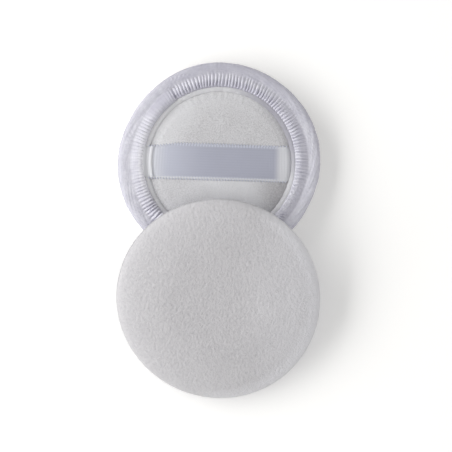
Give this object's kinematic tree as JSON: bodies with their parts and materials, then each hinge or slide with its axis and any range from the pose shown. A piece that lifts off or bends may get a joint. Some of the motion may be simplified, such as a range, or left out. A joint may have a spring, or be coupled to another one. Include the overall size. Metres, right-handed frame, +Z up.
{
  "type": "powder puff",
  "caption": "Round velour powder puffs with a gathered satin rim and a satin finger ribbon across the back, one leaning on the other as a loose pair.",
  "frame": {"origin": "on the table under the middle of the pair's box", "axes": "+Z up from the table, +Y from the leaning puff towards the flat one, +X along both ribbons"},
  "size_m": [0.0706, 0.1166, 0.0191],
  "materials": {
    "velour": "short cotton velour pile",
    "satin": "silver grey satin, softly glossy",
    "ribbon": "blue grey satin ribbon",
    "piping": "pale woven bias tape",
    "foam": "open soft foam",
    "card": "plain card",
    "thread": "twisted sewing thread"
  },
  "bodies": {
    "under_face": {"under_face_cover": "velour", "under_core_pad": "foam"},
    "under_back": {"under_seam_thread": "thread", "under_satin_rim": "satin", "under_gather_cord": "thread", "under_piping": "piping", "under_back_cover": "velour", "under_stiffener_disc": "card", "under_ribbon_tab_left": "ribbon", "under_ribbon_tab_right": "ribbon", "under_ribbon_tack_left": "thread", "under_ribbon_tack_right": "thread"},
    "under_ribbon": {"under_ribbon_span": "ribbon"},
    "over_back": {"over_seam_thread": "thread", "over_satin_rim": "satin", "over_gather_cord": "thread", "over_piping": "piping", "over_back_cover": "velour", "over_stiffener_disc": "card", "over_ribbon_tab_left": "ribbon", "over_ribbon_tab_right": "ribbon", "over_ribbon_tack_left": "thread", "over_ribbon_tack_right": "thread"},
    "over_face": {"over_face_cover": "velour", "over_core_pad": "foam"},
    "over_ribbon": {"over_ribbon_span": "ribbon"}
  },
  "joints": [
    {"name": "under_press", "type": "slide", "parent": "under_face", "child": "under_back", "axis": [0, 0, -1], "range_m": [0, 0.002], "stiffness_N_per_m": 1200, "deforming": ["under_face_cover", "under_core_pad"]},
    {"name": "under_ribbon_lift", "type": "slide", "parent": "under_back", "child": "under_ribbon", "axis": [0, 0, 1], "range_m": [0, 0.006], "stiffness_N_per_m": 5},
    {"name": "over_lift", "type": "slide", "parent": "under_face", "child": "over_back", "axis": [0, 0, 1], "range_m": [0, 0.04]},
    {"name": "over_press", "type": "slide", "parent": "over_back", "child": "over_face", "axis": [0, 0.176, -0.9844], "range_m": [0, 0.002], "stiffness_N_per_m": 1200, "deforming": ["over_face_cover", "over_core_pad"]},
    {"name": "over_ribbon_lift", "type": "slide", "parent": "over_back", "child": "over_ribbon", "axis": [0, 0.176, -0.9844], "range_m": [0, 0.006], "stiffness_N_per_m": 5}
  ]
}
